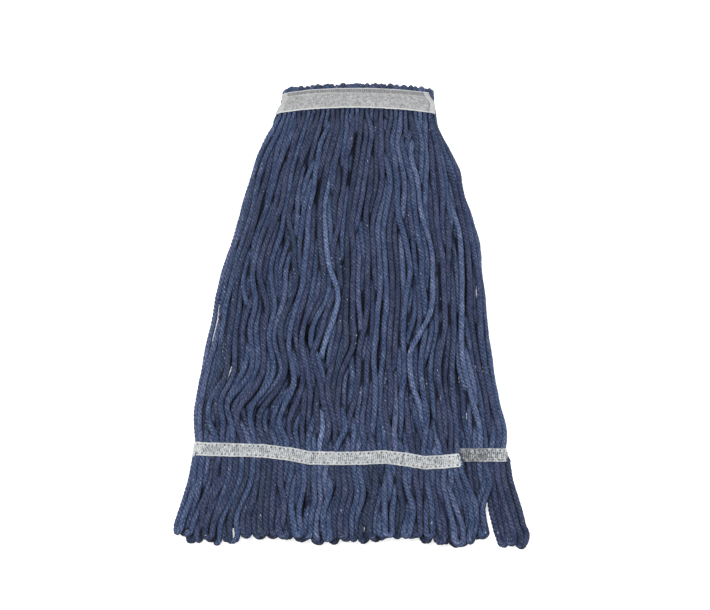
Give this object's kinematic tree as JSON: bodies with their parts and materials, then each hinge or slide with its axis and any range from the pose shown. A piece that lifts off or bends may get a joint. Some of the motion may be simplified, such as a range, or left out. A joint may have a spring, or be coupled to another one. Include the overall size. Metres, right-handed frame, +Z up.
{
  "type": "string mop head",
  "caption": "Looped-end string mop head of cotton-blend yarn, folded in half over a narrow sewn headband, with a webbing tail band across each half.",
  "frame": {"origin": "middle of the footprint at the surface that the folded head lies on", "axes": "+Y from the loop tips to the folded crease, +X to the right when the loops are nearest, +Z up, out of the headband's outer face"},
  "size_m": [0.3425, 0.5097, 0.0252],
  "materials": {
    "yarn": "matt four-ply cotton-blend yarn, denim blue with flecks",
    "headband_webbing": "matt woven webbing, light grey with paler selvedges",
    "tail_webbing": "matt ribbed webbing, off-white",
    "thread": "matt sewing thread, off-white"
  },
  "bodies": {
    "headband": {"headband_outer_webbing": "headband_webbing", "headband_inner_webbing": "headband_webbing", "headband_yarn": "yarn", "headband_upper_stitching": "thread", "headband_lower_stitching": "thread", "headband_zigzag_stitching": "thread", "crease_yarn": "yarn"},
    "front_skirt": {"front_lock_1": "yarn", "front_lock_2": "yarn", "front_lock_3": "yarn", "front_lock_4": "yarn", "front_lock_5": "yarn", "front_lock_6": "yarn", "front_lock_7": "yarn", "front_lock_8": "yarn", "front_tail_outer_webbing": "tail_webbing", "front_tail_inner_webbing": "tail_webbing", "front_tail_upper_stitching": "thread", "front_tail_lower_stitching": "thread"},
    "front_fringe": {"front_loops_1": "yarn", "front_loops_2": "yarn", "front_loops_3": "yarn", "front_loops_4": "yarn", "front_loops_5": "yarn", "front_loops_6": "yarn", "front_loops_7": "yarn", "front_loops_8": "yarn"},
    "rear_skirt": {"rear_lock_1": "yarn", "rear_lock_2": "yarn", "rear_lock_3": "yarn", "rear_lock_4": "yarn", "rear_lock_5": "yarn", "rear_lock_6": "yarn", "rear_lock_7": "yarn", "rear_lock_8": "yarn", "rear_tail_outer_webbing": "tail_webbing", "rear_tail_inner_webbing": "tail_webbing", "rear_tail_upper_stitching": "thread", "rear_tail_lower_stitching": "thread"},
    "rear_fringe": {"rear_loops_1": "yarn", "rear_loops_2": "yarn", "rear_loops_3": "yarn", "rear_loops_4": "yarn", "rear_loops_5": "yarn", "rear_loops_6": "yarn", "rear_loops_7": "yarn", "rear_loops_8": "yarn"}
  },
  "joints": [
    {"name": "front_fold", "type": "hinge", "parent": "headband", "child": "front_skirt", "pos_m": [0.003, 0.2097, 0.0184], "axis": [-1, 0, 0], "range_deg": [0, 90]},
    {"name": "front_fringe_fold", "type": "hinge", "parent": "front_skirt", "child": "front_fringe", "pos_m": [-0.025, -0.1834, 0.0184], "axis": [-1, 0, 0], "range_deg": [0, 90]},
    {"name": "rear_fold", "type": "hinge", "parent": "headband", "child": "rear_skirt", "pos_m": [0.003, 0.2525, 0.0122], "axis": [1, 0, 0], "range_deg": [0, 180], "deforming": ["crease_yarn"]},
    {"name": "rear_fringe_fold", "type": "hinge", "parent": "rear_skirt", "child": "rear_fringe", "pos_m": [0.021, -0.1724, 0.006], "axis": [1, 0, 0], "range_deg": [0, 90]}
  ]
}
